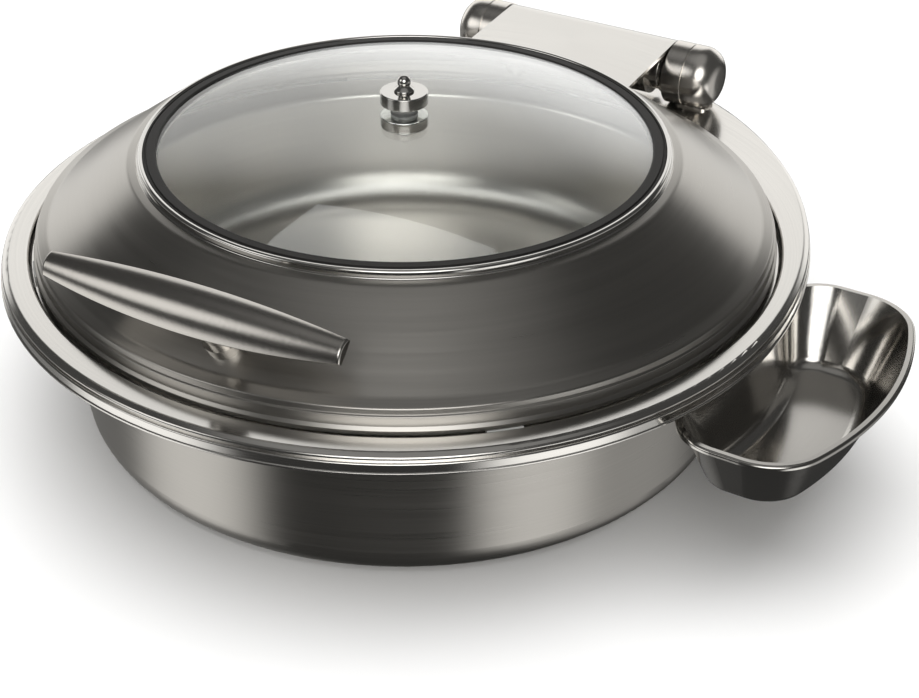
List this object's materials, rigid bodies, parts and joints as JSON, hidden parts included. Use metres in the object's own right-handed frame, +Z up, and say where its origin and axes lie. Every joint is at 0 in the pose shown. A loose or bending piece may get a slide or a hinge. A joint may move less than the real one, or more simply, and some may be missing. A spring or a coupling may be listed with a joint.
{
  "type": "round chafing dish",
  "caption": "Round stainless steel chafing dish with a hinged lid, domed glass window, leaf-shaped handle, food pan and plug-in kidney-shaped spoon rest.",
  "frame": {"origin": "centre of the flat underside, on the axis of the round casing", "axes": "+Z up; -Y towards the handle at the front, +Y towards the hinge; +X towards the spoon rest"},
  "size_m": [0.4826, 0.4621, 0.1853],
  "materials": {
    "casing_steel": "satin stainless steel, brushed around the wall",
    "lid_steel": "satin stainless steel, brushed around the dome",
    "rim_steel": "bright stainless steel, lightly brushed",
    "polished_steel": "mirror-polished stainless steel",
    "handle_steel": "satin-polished stainless steel",
    "hinge_steel": "bright turned stainless steel",
    "pan_steel": "satin stainless steel inside the pan",
    "plate_steel": "plain magnetic stainless steel",
    "fastener_steel": "plain stainless steel fasteners",
    "glass": "clear tempered glass",
    "black_rubber": "matt black rubber",
    "grey_silicone": "matt grey silicone"
  },
  "bodies": {
    "base": {"outer_casing": "casing_steel", "induction_plate": "plate_steel", "rim_frame": "rim_steel", "rim_skirt": "rim_steel", "food_pan": "pan_steel", "pan_seal": "grey_silicone", "lid_buffers": "grey_silicone", "spoon_socket": "plate_steel", "socket_rivets": "fastener_steel", "hinge_backing_plate": "plate_steel", "hinge_foot_screws": "fastener_steel", "hinge_foot_left": "hinge_steel", "hinge_foot_right": "hinge_steel", "hinge_ring_left": "hinge_steel", "hinge_ring_right": "hinge_steel", "hinge_cap_left": "hinge_steel", "hinge_cap_right": "hinge_steel", "hinge_shaft": "hinge_steel", "hinge_washers": "hinge_steel"},
    "lid": {"lid_dome": "lid_steel", "window_ring": "polished_steel", "glass_window": "glass", "glass_gasket": "black_rubber", "hinge_plate": "rim_steel", "hinge_barrel": "hinge_steel", "hinge_damper_left": "plate_steel", "hinge_damper_right": "plate_steel", "hinge_mount_block": "plate_steel", "lid_screw_washers": "fastener_steel", "lid_screws": "fastener_steel", "handle": "handle_steel", "handle_post": "handle_steel", "vent_stud": "fastener_steel", "vent_upper_seal": "grey_silicone", "vent_collar": "fastener_steel", "vent_upper_disc": "polished_steel", "vent_cap_nut": "polished_steel", "vent_lower_seal": "grey_silicone", "vent_lower_disc": "polished_steel", "vent_lower_nut": "fastener_steel"},
    "spoon_rest": {"spoon_bowl": "polished_steel", "spoon_tongue": "plate_steel"}
  },
  "joints": [
    {"name": "lid_hinge", "type": "hinge", "parent": "base", "child": "lid", "pos_m": [0, 0.214, 0.1192], "axis": [-1, 0, 0], "range_deg": [0, 90]},
    {"name": "spoon_rest_slide", "type": "slide", "parent": "base", "child": "spoon_rest", "axis": [1, 0, 0], "range_m": [0, 0.024]}
  ]
}
